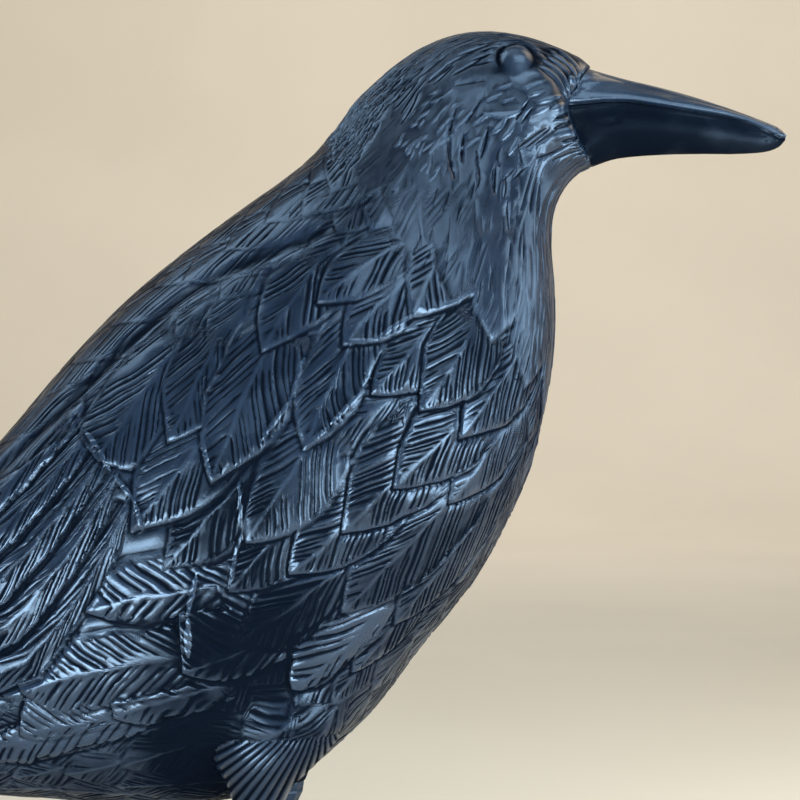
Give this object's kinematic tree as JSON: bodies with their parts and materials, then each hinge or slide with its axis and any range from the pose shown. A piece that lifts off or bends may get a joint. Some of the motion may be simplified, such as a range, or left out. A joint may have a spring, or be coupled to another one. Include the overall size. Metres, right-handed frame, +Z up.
{
  "type": "crow decoy",
  "caption": "Upright moulded black crow decoy with carved feather relief, folded wings and plug-in legs on flat-soled feet.",
  "frame": {"origin": "middle of the bird's box at the height of its soles, on the ground it stands on", "axes": "+X along the beak, from tail to beak, +Z up, +Y to the bird's left"},
  "size_m": [0.3337, 0.107, 0.2575],
  "materials": {
    "moulded_body": "satin blue-black moulded polyethylene, faint mould texture, edges slightly rubbed",
    "moulded_legs": "satin black moulded plastic"
  },
  "bodies": {
    "root": {"body": "moulded_body", "leg_right": "moulded_legs", "leg_left": "moulded_legs"}
  },
  "joints": []
}
